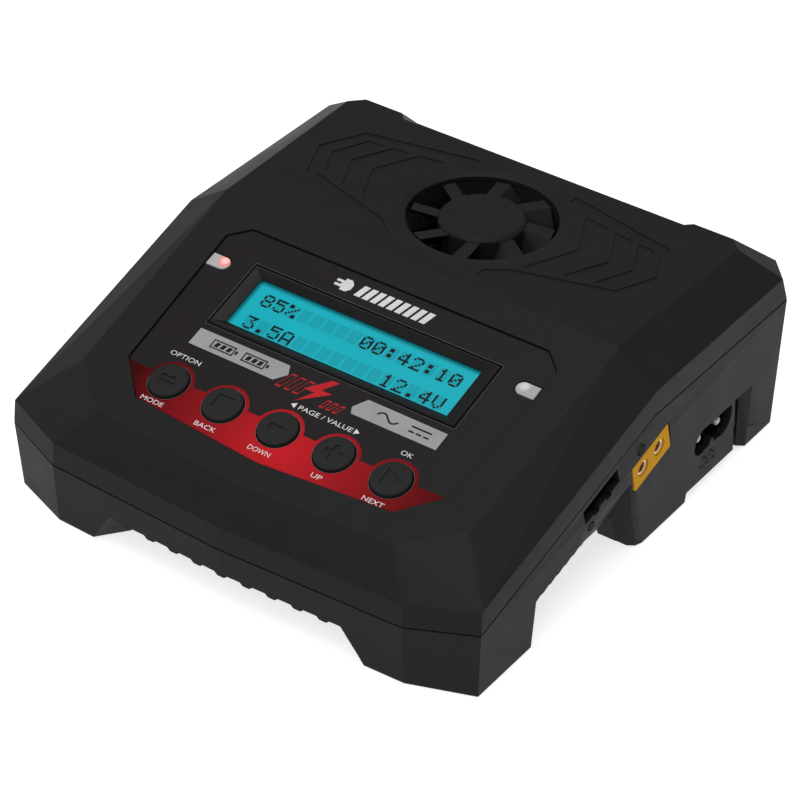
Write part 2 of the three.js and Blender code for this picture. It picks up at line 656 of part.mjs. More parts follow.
['mode', 'stop', 'minus', 'plus', 'start'].forEach((name, i) => {
  const r = button.r;
  const flange = -panelWall - 0.35;
  const cap = turned([[0, flange - 0.8], [r + 0.9, flange - 0.8], [r + 0.9, flange], [r, flange],
    [r, button.top - 0.6], [r - 0.6, button.top], [0, button.top]], 20);
  add(`button_${name}`, cap.translate(buttonX(i), -button.v, 0), rubberBlack, panel);
  const body = solid(block(-3, 3, -3, 3, boardTop + play, -6.3));
  const plunger = solid(rod(1.6, -6.5, -5.5, 12));
  const tact = geometryOf(body.add(plunger)).translate(buttonX(i), -button.v, 0);
  add(`switch_${name}`, tact, socketBlack, panel);
});

for (const [name, side] of [['left', -1], ['right', 1]]) {
  const lens = plate(ledOutline(side, 0, led.outer), -4.6, -0.55, 8).translate(0, -led.v, 0);
  add(`led_window_${name}`, lens, smokedLens, panel);
  const chip = block(-1.6, 1.6, -0.8, 0.8, boardTop + play, boardTop + 1.5);
  add(`led_${name}`, chip.translate(side * 44.8, -led.v, 0), smokedLens, panel);
}

// ---------------------------------------------------------------- fan
const fanTop = topZ - wall - 0.4;
const fanLow = fanTop - fan.height;

function fanFrame() {
  const ring = solid(plate(roundedRectangle(fan.frame, fan.frame, 2.5), fanLow, fanTop, 3));
  const bore = solid(rod(fan.bore, fanLow - 1, fanTop + 1, 40));
  const holes = mirrored([[16, 16], [16, -16]]).map(([x, y]) =>
    solid(rod(1.7, fanLow - 1, fanTop + 1, 12).translate(x, y, 0)));
  const arms = [45, 135, 225, 315].map((deg) =>
    solid(block(6, 20, -1.2, 1.2, fanLow, fanLow + 1.2).rotateZ(THREE.MathUtils.degToRad(deg))));
  const seat = solid(rod(8.5, fanLow, fanLow + 1.2, 24));
  return cut(ring, [bore, ...holes]).add(addAll([...arms, seat]));
}

function fanRotor() {
  const low = fanLow + 2;
  const top = topZ - 0.4;
  const r = fan.hub;
  const cup = solid(turned([[0, low + 8], [r - 1.4, low + 8], [r - 1.4, low], [r, low],
    [r, top - 0.9], [r - 0.9, top], [0, top]], 36));
  const spindle = solid(rod(1.2, low + 1, low + 9, 12));
  const hubEnd = r - 0.7;
  const tip = fan.bore - 0.8;
  const sweep = 0.06; // the tips trail the roots, radians
  // Leading and trailing edge of a blade: turn round the axis, half width and height.
  const edges = [{ turn: 0, half: 1.75, z: top - 1.1 }, { turn: -0.3, half: 0.7, z: top - 6.4 }];
  const blades = [];
  for (let i = 0; i < fan.blades; i += 1) {
    const middle = THREE.MathUtils.degToRad(20 + (i * 360) / fan.blades);
    const points = edges.flatMap(({ turn, half, z }) =>
      [[hubEnd, sweep], [tip, -sweep]].flatMap(([radius, lag]) =>
        [1, -1].map((s) => [...polar(radius, middle + turn + lag + (s * half) / radius), z])));
    blades.push(solid(hull(points)));
  }
  return addAll([cup, spindle, ...blades]);
}

function fanMotor() {
  const low = fanLow + 1.5;
  const high = fanLow + 9.4;
  const profile = [[1.6, low], [8, low], [8, high], [1.6, high], [1.6, low]];
  return turned(profile, 24);
}

const fanPlace = framed(new THREE.Matrix4().makeTranslation(0, fan.y, 0));
add('fan_frame', geometryOf(fanFrame()), socketBlack, fanPlace);
add('fan_motor', fanMotor(), copper, fanPlace);
add('fan_rotor', geometryOf(fanRotor()), socketBlack, fanPlace);

// ---------------------------------------------------------------- side sockets
// Two-pole power socket: a housing with two round wells, each with a tubular contact.
function powerSocket(frame, name, male) {
  const face = 0;
  const housing = solid(plate(roundedRectangle(output.width, output.height, 0.4), -output.depth, face, 2));
  const well = rod(output.well, -11, face + 1, 20);
  const wells = [1, -1].map((s) => solid(well.clone().translate((s * output.pin) / 2, 0, 0)));
  const cavity = solid(plate(roundedRectangle(output.width - 1.8, output.height - 1.8, 0.6), -9, face + 1, 2));
  add(name, geometryOf(cut(housing, male ? [cavity] : wells)), socketYellow, frame);
  const [low, high] = male ? [-8.6, -2] : [-10.6, -0.6];
  ['front', 'rear'].forEach((place, i) => {
    const tube = [[1.45, low], [2.05, low], [2.05, high], [1.45, high], [1.45, low]];
    const pin = [[0, low], [1.4, low], [1.4, high - 0.6], [0.9, high], [0, high]];
    const contact = turned(male ? pin : tube, 14).translate((i - 0.5) * output.pin, 0, 0);
    add(`${name}_contact_${place}`, contact, gold, frame);
  });
}

function balanceSocket(frame, name) {
  const back = -wall - 0.6;
  const body = solid(block(-9, 9, -4.4, 3.4, back - balance.depth, back));
  const well = solid(plate(balanceOpening(0.3), back - balance.depth + 2, back + 1));
  add(`balance_socket_${name}`, geometryOf(body.subtract(well)), socketBlack, frame);
  const low = back - balance.depth + 2.3;
  const bar = solid(block(-5.9, 5.9, -0.6, 0.6, low, low + 1.2));
  const pins = [];
  for (let i = 0; i < balance.pins; i += 1) {
    const x = (i - (balance.pins - 1) / 2) * balance.pitch;
    pins.push(solid(block(x - 0.32, x + 0.32, -0.32, 0.32, low + 0.5, back - 0.8)));
  }
  add(`balance_pins_${name}`, geometryOf(addAll([bar, ...pins])), nickel, frame);
}

for (const { name, output: outputFrame, balance: balanceFrame } of outputSides) {
  powerSocket(framed(outputFrame), `output_socket_${name}`, false);
  balanceSocket(framed(balanceFrame), name);
}
powerSocket(framed(dcFrame), 'dc_inlet', true);

const ac = framed(acFrame);
const acFace = -wall - 0.5;
const acBody = solid(plate(roundedRectangle(18, 10.4, 0.8), acFace - inlet.depth - 3, acFace, 4));
const acWell = solid(plate(outline(figureEight(0.15)), acFace - inlet.depth, acFace + 1));
add('ac_inlet', geometryOf(acBody.subtract(acWell)), socketBlack, ac);
['front', 'rear'].forEach((place, i) => {
  const low = acFace - inlet.depth + play;
  const pin = turned([[0, low], [1.2, low], [1.2, -1.8], [1.0, -1.4], [0.6, -1.2], [0, -1.2]], 16);
  add(`ac_pin_${place}`, pin.translate((i - 0.5) * inlet.pin, 0, 0), nickel, ac);
});

// ---------------------------------------------------------------- electronics on the main board
const boardTopZ = board.z + board.thick;
const partZ = boardTopZ + play;

function heatSink() {
  const base = solid(block(-24, 24, 14, 52, partZ, partZ + 3));
  const fins = [];
  for (let x = -23; x <= 23; x += 4.6) {
    fins.push(solid(block(x - 0.6, x + 0.6, 14, 52, partZ + 2.5, partZ + 18)));
  }
  return addAll([base, ...fins]);
}

add('main_board', block(-board.x, board.x, board.front, board.rear, board.z, boardTopZ), boardGreen);
add('heat_sink', geometryOf(heatSink()), aluminium);
const core = solid(block(-8, 8, -9, 9, 0, 18)).subtract(solid(block(-5.2, 5.2, -10, 10, 4, 14)));
const bobbin = solid(block(-4.9, 4.9, -6.4, 6.4, 3, 15));
add('transformer', geometryOf(core.add(bobbin)).translate(34, 44, partZ), ferrite);
for (const [name, x, y] of [['front', 33, 24], ['rear', 33, 5]]) {
  const can = turned([[0, 0], [8, 0], [8, 22], [7.4, 22.6], [6.2, 22.6], [6, 22.2], [0, 22.2]], 16);
  add(`bulk_capacitor_${name}`, can.translate(x, y, partZ), sleeve);
}
for (const [name, x] of [['right', 20], ['left', -20]]) {
  const ring = turned([[4, 0], [9, 0], [9.6, 1], [9.6, 7], [9, 8], [4, 8], [3.4, 7], [3.4, 1], [4, 0]], 16);
  add(`inductor_${name}`, ring.translate(x, -14, partZ), copper);
}
for (const [name, y] of [['front', 20], ['rear', 33]]) {
  add(`transistor_${name}`, block(-4.9, -0.4, 0, 10, 0, 15).translate(-24, y, partZ + 1), socketBlack);
}

export default group;
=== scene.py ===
"""Looks of a dual-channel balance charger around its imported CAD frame.

Lengths in this script are millimetres in the row frame; MM turns them into Blender's metres.
Panel places are (x, v): x to the user's right, v down the slope from the edge of the flat top.
"""
import json
import math

import bmesh
import bpy
from mathutils import Matrix, Vector


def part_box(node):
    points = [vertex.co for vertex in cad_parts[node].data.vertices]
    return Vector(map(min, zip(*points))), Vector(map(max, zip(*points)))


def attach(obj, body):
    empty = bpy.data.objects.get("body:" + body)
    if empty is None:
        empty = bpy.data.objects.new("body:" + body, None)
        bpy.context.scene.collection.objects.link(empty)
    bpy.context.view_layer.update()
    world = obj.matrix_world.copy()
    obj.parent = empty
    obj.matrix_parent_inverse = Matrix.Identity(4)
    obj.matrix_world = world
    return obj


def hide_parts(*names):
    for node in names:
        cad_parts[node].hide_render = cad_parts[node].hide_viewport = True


MM = 0.001
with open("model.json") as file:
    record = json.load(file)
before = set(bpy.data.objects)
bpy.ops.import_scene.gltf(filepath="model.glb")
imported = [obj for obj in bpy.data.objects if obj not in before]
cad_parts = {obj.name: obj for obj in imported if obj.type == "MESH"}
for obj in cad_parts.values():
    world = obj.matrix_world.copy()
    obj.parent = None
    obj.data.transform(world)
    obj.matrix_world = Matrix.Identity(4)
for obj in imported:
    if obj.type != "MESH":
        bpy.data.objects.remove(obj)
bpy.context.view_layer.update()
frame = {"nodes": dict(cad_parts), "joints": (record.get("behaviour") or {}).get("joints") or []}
nodes = frame["nodes"]

# ---------------------------------------------------------------- places from the frame
press = {j["child"]: j for j in frame["joints"] if j["name"].startswith("press_")}
PANEL_OUT = -Vector(press["button_minus"]["axis"]).normalized()
PANEL_UP = PANEL_OUT.cross(Vector((1, 0, 0))).normalized()
BUTTON_V = 57.1  # middle of the button row
BUTTON_TOP = 0.5  # the caps' height over the panel plane
BUTTON_FLANGE = 0.9  # hidden rim that keeps a cap under the sheet
SHEET_TOP = -0.5
PANEL_ORIGIN = (
    Vector(press["button_minus"]["pos_m"]) + PANEL_UP * BUTTON_V * MM - PANEL_OUT * BUTTON_TOP * MM
)
PANEL_ORIGIN.x = 0
BUTTONS = {name: joint["pos_m"][0] / MM for name, joint in press.items()}
BUTTON_R = (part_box("button_minus")[1].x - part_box("button_minus")[0].x) / MM / 2 - BUTTON_FLANGE

# Panel matrix: millimetres (x, up the slope, out of the panel) to the row frame.
PANEL = Matrix.Translation(PANEL_ORIGIN) @ Matrix(
    (
        (1, PANEL_UP.x, PANEL_OUT.x),
        (0, PANEL_UP.y, PANEL_OUT.y),
        (0, PANEL_UP.z, PANEL_OUT.z),
    )
).to_4x4() @ Matrix.Scale(MM, 4)


# ---------------------------------------------------------------- materials
def node_tree(name):
    material = bpy.data.materials.new(name)
    material.use_nodes = True
    tree = material.node_tree
    return material, tree, tree.nodes["Principled BSDF"]


def add_node(tree, kind, **values):
    node = tree.nodes.new(kind)
    for key, value in values.items():
        if key in node.inputs:
            node.inputs[key].default_value = value
        else:
            setattr(node, key, value)
    return node


def noise(tree, scale, detail=2.0, roughness=0.5):
    place = add_node(tree, "ShaderNodeTexCoord")
    texture = add_node(tree, "ShaderNodeTexNoise", Scale=scale, Detail=detail, Roughness=roughness)
    tree.links.new(place.outputs["Object"], texture.inputs["Vector"])
    return texture.outputs["Fac"]


NOISE_LOW, NOISE_HIGH = 0.3, 0.7


def spread(tree, value, low, high):
    """Maps the middle of a noise value to low..high."""
    node = add_node(tree, "ShaderNodeMapRange")
    node.inputs["From Min"].default_value = NOISE_LOW
    node.inputs["From Max"].default_value = NOISE_HIGH
    node.inputs["To Min"].default_value = low
    node.inputs["To Max"].default_value = high
    tree.links.new(value, node.inputs["Value"])
    return node.outputs["Result"]


def tint(tree, colour, factor):
    """The colour, lighter and darker by a varying factor around 1."""
    mix = add_node(tree, "ShaderNodeVectorMath", operation="SCALE")
    mix.inputs[0].default_value = colour
    tree.links.new(factor, mix.inputs["Scale"])
    return mix.outputs["Vector"]


PATCH_SCALE = 90
ROUGHNESS_SPREAD = 0.04
GRAIN_DEPTH = 0.03


def surface(name, colour, roughness, metallic=0.0, specular=0.5, grain=0.25, bump=0.15, mottle=0.08):
    """A moulded, rubber or metal surface. grain is the size in mm of its fine texture."""
    material, tree, shader = node_tree(name)
    shader.inputs["Metallic"].default_value = metallic
    shader.inputs["Specular IOR Level"].default_value = specular
    fine = noise(tree, 1 / (grain * MM), detail=3)
    patches = noise(tree, PATCH_SCALE, detail=4, roughness=0.6)
    shades = tint(tree, colour, spread(tree, patches, 1 - mottle, 1 + mottle))
    tree.links.new(shades, shader.inputs["Base Color"])
    gloss = spread(tree, patches, roughness - ROUGHNESS_SPREAD, roughness + ROUGHNESS_SPREAD)
    tree.links.new(gloss, shader.inputs["Roughness"])
    height = add_node(tree, "ShaderNodeBump", Strength=bump, Distance=GRAIN_DEPTH * MM)
    tree.links.new(fine, height.inputs["Height"])
    tree.links.new(height.outputs["Normal"], shader.inputs["Normal"])
    return material


MATERIALS = {
    "shell": surface("shell_black", (0.0098, 0.0098, 0.0101), 0.5, specular=0.08, grain=0.28, bump=0.25),
    "sheet": surface("panel_sheet", (0.0102, 0.0079, 0.0086), 0.4, specular=0.08, bump=0.03, grain=0.6),
    "bezel": surface("bezel_black", (0.007, 0.007, 0.0075), 0.4, specular=0.12, bump=0.06),
    "rubber": surface("button_rubber", (0.0135, 0.0136, 0.0138), 0.58, specular=0.08, grain=0.2),
    "pad": surface("pad_rubber", (0.012, 0.012, 0.012), 0.75, specular=0.25, grain=0.4, bump=0.4),
    "amber": surface("socket_amber", (0.50, 0.24, 0.004), 0.5, specular=0.03, mottle=0.05),
    "black": surface("socket_black", (0.003, 0.003, 0.0032), 0.5, specular=0.1),
    "fan": surface("fan_black", (0.0105, 0.0105, 0.0108), 0.5, specular=0.08, grain=0.3),
    "gold": surface("contact_gold", (0.86, 0.52, 0.22), 0.28, metallic=1.0, bump=0.05),
    # The power contacts' metal, paler than their gold: partly their own colour and partly a painted
    # highlight on the rims.
    "rim": surface("contact_gold_and_painted_highlight", (0.95, 0.83, 0.64), 0.3, metallic=0.35, bump=0.03),
    # Copper hue darkened to a painted shade: the core stands where the contact's bore lies in shade.
    "core": surface("contact_core", (0.13, 0.028, 0.006), 0.55, specular=0.05, bump=0.1),
    "nickel": surface("pin_nickel", (0.36, 0.36, 0.355), 0.4, metallic=0.5, bump=0.05),
    "anodised": surface("heat_sink_anodised", (0.035, 0.035, 0.038), 0.42, metallic=0.6, grain=0.5),
    "board": surface("circuit_board_green", (0.01, 0.09, 0.035), 0.35, grain=0.8, mottle=0.25),
    "ferrite": surface("ferrite_grey", (0.05, 0.05, 0.055), 0.7, grain=0.3, bump=0.4),
    "sleeve": surface("capacitor_sleeve", (0.015, 0.03, 0.1), 0.35, grain=1.0),
    "copper": surface("copper_winding", (0.6, 0.26, 0.12), 0.35, metallic=1.0, grain=0.5, bump=0.5),
    "print_white": surface("print_white", (0.50, 0.50, 0.505), 0.5, specular=0.1, bump=0.02),
    "print_grey": surface("print_grey", (0.235, 0.241, 0.248), 0.42, specular=0.1, bump=0.02),
    "print_dark": surface("print_dark", (0.010, 0.009, 0.007), 0.5, specular=0.05, bump=0.02),
    "print_mark": surface("print_mark_red", (0.365, 0.0135, 0.018), 0.45, specular=0.05, bump=0.02),
    # Black of the side-wall marks: print on the supply mark, and on the minus and balance marks a painted
    # shade of engraved grooves.
    "print_black_and_painted_groove_shade": surface("print_black_and_painted_groove_shade", (0.0006, 0.0006, 0.0007), 0.6, specular=0.01, bump=0.02),
    # Pale lines on the sheet: a painted highlight where the rims of the button holes and the cut edge round
    # the display catch the light.
    "painted_highlight_grey": surface("painted_edge_highlight_grey", (0.075, 0.075, 0.08), 0.4, specular=0.1, bump=0.02),
}


RED_BRIGHT = (3.0, -61.5, 0)  # brightest place, in panel millimetres
RED_REACH = 45.0
RED_STOPS = ((0.41, 0.010, 0.015, 1), (0.21, 0.006, 0.009, 1), (0.038, 0.0012, 0.0016, 1))
RED_MIDDLE = 0.45


def red_print():
    """Panel red, brightest in the middle of the button row and deepening to both sides."""
    material, tree, shader = node_tree("print_red")
    shader.inputs["Roughness"].default_value = 0.4
    shader.inputs["Specular IOR Level"].default_value = 0.03
    place = add_node(tree, "ShaderNodeTexCoord")
    offset = add_node(tree, "ShaderNodeVectorMath", operation="SUBTRACT")
    offset.inputs[1].default_value = PANEL @ Vector(RED_BRIGHT)
    tree.links.new(place.outputs["Object"], offset.inputs[0])
    length = add_node(tree, "ShaderNodeVectorMath", operation="LENGTH")
    tree.links.new(offset.outputs["Vector"], length.inputs[0])
    ramp = add_node(tree, "ShaderNodeValToRGB")
    reach = add_node(tree, "ShaderNodeMapRange")
    reach.inputs["From Max"].default_value = RED_REACH * MM
    tree.links.new(length.outputs["Value"], reach.inputs["Value"])
    tree.links.new(reach.outputs["Result"], ramp.inputs["Fac"])
    stops = ramp.color_ramp.elements
    stops[0].color = RED_STOPS[0]
    stops[1].color = RED_STOPS[2]
    stops.new(RED_MIDDLE).color = RED_STOPS[1]
    grain = add_node(tree, "ShaderNodeBump", Strength=0.04, Distance=0.02 * MM)
    tree.links.new(noise(tree, 2500), grain.inputs["Height"])
    tree.links.new(grain.outputs["Normal"], shader.inputs["Normal"])
    tree.links.new(ramp.outputs["Color"], shader.inputs["Base Color"])
    return material


# Painted shadow: near the window's left and top walls the display glow is dimmed, standing for the shade
# those walls cast on the sunk film.
WINDOW_LEFT = -32.2
WINDOW_TOP = 20.0
WINDOW_SHADOW_WIDTH = 1.3  # width of the painted shadow along the window's walls
WINDOW_SHADOW_DIMMEST = 0.33


def painted_window_shadow(tree, colour, axis, edge):
    """The colour, dimmed beside the wall of the window that stands across the axis: a painted shadow of
    that wall on the glow.
    """
    place = add_node(tree, "ShaderNodeTexCoord")
    along = add_node(tree, "ShaderNodeVectorMath", operation="DOT_PRODUCT")
    along.inputs[1].default_value = axis
    tree.links.new(place.outputs["Object"], along.inputs[0])
    wall = PANEL_ORIGIN.dot(axis) + edge * MM
    reach = add_node(tree, "ShaderNodeMapRange", interpolation_type="SMOOTHSTEP")
    reach.inputs["From Min"].default_value = wall
    reach.inputs["From Max"].default_value = wall + WINDOW_SHADOW_WIDTH * MM
    reach.inputs["To Min"].default_value = WINDOW_SHADOW_DIMMEST
    tree.links.new(along.outputs["Value"], reach.inputs["Value"])
    shaded = add_node(tree, "ShaderNodeVectorMath", operation="SCALE")
    tree.links.new(colour, shaded.inputs[0])
    tree.links.new(reach.outputs["Result"], shaded.inputs["Scale"])
    return shaded.outputs["Vector"]


def display_glow(name, colour):
    """Back-lit display film: flat glow with a faint unevenness of the light behind it, and a painted shadow
    along the left and top walls of the window.
    """
    material, tree, shader = node_tree(name)
    shader.inputs["Base Color"].default_value = (*[c * 0.05 for c in colour], 1)
    shader.inputs["Roughness"].default_value = 0.3
    shader.inputs["Specular IOR Level"].default_value = 0.1
    glow = tint(tree, colour, spread(tree, noise(tree, 45, detail=1), 0.97, 1.03))
    # painted shadow: the glow dims along the window's left and top walls
    for axis, edge in ((Vector((1, 0, 0)), WINDOW_LEFT), (-PANEL_UP, WINDOW_TOP)):
        glow = painted_window_shadow(tree, glow, axis, edge)
    tree.links.new(glow, shader.inputs["Emission Color"])
    shader.inputs["Emission Strength"].default_value = 1.0
    return material


LAMP_INSET = 1.7  # of the lamp behind the window, from its inner end
LAMP_CORE = 0.5  # radius of the evenly lit middle
LAMP_REACH = 2.2  # radius where the window is plain again
LAMP_RING = 0.55  # place of the ring colour between the two


def lamp_window(name, side, core, ring, rim, strength):
    """Frosted window, grey at its outer end and lit at its round inner end."""
    material, tree, shader = node_tree(name)
    low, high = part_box(f"led_window_{side}")
    inner_x = high.x if side == "left" else low.x
    lamp_x = inner_x + math.copysign(LAMP_INSET * MM, inner_x)
    lit = Vector((lamp_x, (low.y + high.y) / 2, high.z))
    place = add_node(tree, "ShaderNodeTexCoord")
    away = add_node(tree, "ShaderNodeVectorMath", operation="DISTANCE")
    away.inputs[1].default_value = lit
    tree.links.new(place.outputs["Object"], away.inputs[0])
    reach = add_node(tree, "ShaderNodeMapRange", interpolation_type="SMOOTHSTEP")
    reach.inputs["From Min"].default_value = LAMP_CORE * MM
    reach.inputs["From Max"].default_value = LAMP_REACH * MM
    tree.links.new(away.outputs["Value"], reach.inputs["Value"])
    ramp = add_node(tree, "ShaderNodeValToRGB")
    ramp.color_ramp.elements[0].color = (*core, 1)
    ramp.color_ramp.elements[1].color = (*rim, 1)
    ramp.color_ramp.elements.new(LAMP_RING).color = (*ring, 1)
    tree.links.new(reach.outputs["Result"], ramp.inputs["Fac"])
    tree.links.new(ramp.outputs["Color"], shader.inputs["Base Color"])
    tree.links.new(ramp.outputs["Color"], shader.inputs["Emission Color"])
    shader.inputs["Emission Strength"].default_value = strength
    shader.inputs["Roughness"].default_value = 0.35
    frost = add_node(tree, "ShaderNodeBump", Strength=0.1, Distance=0.02 * MM)
    tree.links.new(noise(tree, 3000), frost.inputs["Height"])
    tree.links.new(frost.outputs["Normal"], shader.inputs["Normal"])
    return material


MATERIALS["red"] = red_print()
MATERIALS["display"] = display_glow("display_cyan", (0.004, 0.38, 0.46))
MATERIALS["cells"] = display_glow("display_cells", (0.004, 0.31, 0.37))
MATERIALS["dots"] = display_glow("display_dots", (0.001, 0.008, 0.011))
MATERIALS["lamp_left"] = lamp_window(
    "lamp_red",
    "left",
    core=(0.66, 0.38, 0.37),
    ring=(0.60, 0.13, 0.14),
    rim=(0.25, 0.245, 0.25),
    strength=0.35,
)
MATERIALS["lamp_right"] = lamp_window(
    "lamp_clear",
    "right",
    core=(0.42, 0.42, 0.42),
    ring=(0.30, 0.30, 0.30),
    rim=(0.235, 0.232, 0.232),
    strength=0.1,
)


# ---------------------------------------------------------------- mesh helpers
def place_object(name, mesh, material):
    """A piece fixed to the case."""
    piece = bpy.data.objects.new(name, mesh)
    bpy.context.scene.collection.objects.link(piece)
    mesh.materials.clear()
    mesh.materials.append(MATERIALS[material])
    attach(piece, "root")
    return piece


def mesh_from(bm, name):
    mesh = bpy.data.meshes.new(name)
    bm.to_mesh(mesh)
    bm.free()
    return mesh


def evaluated(piece):
    """The piece's mesh with its modifiers applied."""
    bpy.context.view_layer.update()
    graph = bpy.context.evaluated_depsgraph_get()
    return bpy.data.meshes.new_from_object(piece.evaluated_get(graph), depsgraph=graph)


def apply_modifiers(piece):
    mesh = evaluated(piece)
    piece.modifiers.clear()
    piece.data = mesh


def loose(name, mesh):
    """An object that rides on no body yet."""
    piece = bpy.data.objects.new(name, mesh)
    bpy.context.scene.collection.objects.link(piece)
    return piece


CREASE_ANGLE = math.radians(40)
FLAT_ANGLE = math.radians(0.6)
BEVEL_ANGLE = math.radians(34)
MERGE = 0.002  # vertices closer than this are one


def shade(mesh):
    """Smooth shading with creases where faces meet at more than the crease angle."""
    bm = bmesh.new()
    bm.from_mesh(mesh)
    for face in bm.faces:
        face.smooth = True
    for edge in bm.edges:
        edge.smooth = not (edge.is_manifold and edge.calc_face_angle(0) > CREASE_ANGLE)
    bm.to_mesh(mesh)
    bm.free()


def tidy_copy(node):
    """A copy of a CAD node's mesh, its flat faces in one piece each."""
    bm = bmesh.new()
    bm.from_mesh(nodes[node].data)
    bmesh.ops.remove_doubles(bm, verts=bm.verts, dist=MERGE * MM)
    bmesh.ops.dissolve_limit(bm, angle_limit=FLAT_ANGLE, verts=bm.verts, edges=bm.edges)
    return mesh_from(bm, node)


def round_edges(piece, width):
    """Small radius along every sharp edge."""
    bevel = piece.modifiers.new("edge_radius", "BEVEL")
    bevel.width = width * MM
    bevel.segments = 2
    bevel.limit_method = "ANGLE"
    bevel.angle_limit = BEVEL_ANGLE
    bevel.use_clamp_overlap = False
    bevel.miter_outer = "MITER_ARC"
    apply_modifiers(piece)


def flat_normals(piece):
    """Smooth shading that keeps the flat faces flat."""
    shade(piece.data)
    weighted = piece.modifiers.new("flat_normals", "WEIGHTED_NORMAL")
    weighted.keep_sharp = True
    weighted.weight = 80


# ---------------------------------------------------------------- case shells
SMALL_RADIUS = 0.45
SOFT_RADIUS = {"corner": 3.6, "slope": 2.4, "brow": 1.6}
SHELL_EDGE = 0.06
FACET_ANGLE = math.radians(2.5)
SEAM_Z = 27.0  # height over which the cover's edges are soft
SLOPE_Z = 40.0
FRONT_Y = -42.0
CORNER_X = 40.0
CORNER_RISE, SLOPE_RISE = 8.0, 12.0
FORM_SCALE = 0.9995  # keeps the rounded form inside the CAD faces


def edge_radius(edge):
    """Radius of an edge of the case: soft at the front corners and along the sides of the slope."""
    middle = (edge.verts[0].co + edge.verts[1].co) / 2
    rise = abs(edge.verts[0].co.z - edge.verts[1].co.z)
    if middle.z > SEAM_Z * MM and middle.y < FRONT_Y * MM and abs(middle.x) > CORNER_X * MM:
        return SOFT_RADIUS["corner"] if rise > CORNER_RISE * MM else SOFT_RADIUS["brow"]
    if rise > SLOPE_RISE * MM and middle.z > SLOPE_Z * MM and middle.y < 0:
        return SOFT_RADIUS["slope"]
    return SMALL_RADIUS


def case_form():
    """The faceted outer form of the whole case, with its edges rounded, a hair inside the CAD faces."""
    bm = bmesh.new()
    for node in ("top_shell", "bottom_shell"):
        bm.from_mesh(nodes[node].data)
    hull = bmesh.ops.convex_hull(bm, input=bm.verts)
    keep = {item for item in hull["geom"] if isinstance(item, bmesh.types.BMFace)}
    bmesh.ops.delete(bm, geom=[f for f in bm.faces if f not in keep], context="FACES_KEEP_BOUNDARY")
    bmesh.ops.delete(bm, geom=[v for v in bm.verts if not v.link_faces], context="VERTS")
    bmesh.ops.dissolve_limit(bm, angle_limit=FACET_ANGLE, verts=bm.verts, edges=bm.edges)
    weights = bm.edges.layers.float.new("bevel_weight_edge")
    for edge in bm.edges:
        edge[weights] = edge_radius(edge) / SOFT_RADIUS["corner"]
    form = loose("case_form", mesh_from(bm, "case_form"))
    bevel = form.modifiers.new("radius", "BEVEL")
    bevel.limit_method = "WEIGHT"
    bevel.width = SOFT_RADIUS["corner"] * MM
    bevel.segments = 4
    bevel.use_clamp_overlap = True
    apply_modifiers(form)
    middle = Vector((0, 0, SEAM_Z * MM))
    for vertex in form.data.vertices:
        vertex.co = middle + (vertex.co - middle) * FORM_SCALE
    return form


def rounded_shell(node, form, name):
    """The CAD shell trimmed to the rounded form, with its own small edges softened."""
    bm = bmesh.new()
    bm.from_mesh(nodes[node].data)
    bmesh.ops.remove_doubles(bm, verts=bm.verts, dist=MERGE * MM)
    piece = loose(name, mesh_from(bm, name))
    trim = piece.modifiers.new("round", "BOOLEAN")
    trim.operation = "INTERSECT"
    trim.object = form
    trim.solver = "EXACT"
    apply_modifiers(piece)
    bm = bmesh.new()
    bm.from_mesh(piece.data)
    bmesh.ops.remove_doubles(bm, verts=bm.verts, dist=MERGE / 2 * MM)
    bmesh.ops.triangulate(bm, faces=bm.faces[:])
    bm.to_mesh(piece.data)
    bm.free()
    round_edges(piece, SHELL_EDGE)
    flat_normals(piece)
    piece.data.materials.clear()
    piece.data.materials.append(MATERIALS["shell"])
    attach(piece, "root")
    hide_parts(node)


form = case_form()
rounded_shell("top_shell", form, "top_cover")
rounded_shell("bottom_shell", form, "bottom_cover")
bpy.data.objects.remove(form)


# ---------------------------------------------------------------- printed panel
INK = 0.004  # half thickness of every printed area
ZONE_LIFT, PLATE_LIFT, RING_LIFT, MARK_LIFT, SYMBOL_LIFT = 0.008, 0.012, 0.016, 0.02, 0.03


def flat_print_or_highlight(name, outlines, material, height):
    """A printed area or a painted highlight line: filled outlines on the panel sheet, holes where outlines
    lie inside others.
    """
    curve = bpy.data.curves.new(name, "CURVE")
    curve.dimensions = "2D"
    curve.fill_mode = "BOTH"
    curve.extrude = INK
    for points in outlines:
        spline = curve.splines.new("POLY")
        spline.points.add(len(points) - 1)
        for point, (x, v) in zip(spline.points, points):
            point.co = (x, -v, 0, 1)
        spline.use_cyclic_u = True
    mesh = evaluated(loose("outline", curve))
    bpy.data.objects.remove(bpy.data.objects["outline"])
    mesh.transform(PANEL @ Matrix.Translation((0, 0, SHEET_TOP + height)))
    place_object(name, mesh, material)


CIRCLE_STEPS = 64


def circle(x, v, r):
    turn = 2 * math.pi / CIRCLE_STEPS
    return [(x + r * math.cos(i * turn), v + r * math.sin(i * turn)) for i in range(CIRCLE_STEPS)]


LETTER_HEIGHT = 1.4
CAPITAL_SHARE = 0.73  # height of a capital in units of the font size


def label(name, text, x, v, width):
    """White lettering on the panel with its lower left corner at (x, v)."""
    curve = bpy.data.curves.new(name, "FONT")
    curve.body = text
    curve.size = LETTER_HEIGHT / CAPITAL_SHARE
    curve.extrude = INK
    curve.resolution_u = 4
    mesh = evaluated(loose("lettering", curve))
    bpy.data.objects.remove(bpy.data.objects["lettering"])
    span = max(p.co.x for p in mesh.vertices) - min(p.co.x for p in mesh.vertices)
    mesh.transform(Matrix.Scale(width / span, 4, (1, 0, 0)))
    mesh.transform(PANEL @ Matrix.Translation((x, -v, SHEET_TOP + SYMBOL_LIFT)))
    place_object(name, mesh, "print_white")


RED_TOP = 55.7  # upper edge of the red zone between the buttons
RED_R = 6.3  # of its arch over a button
ARCH_STEPS = 24
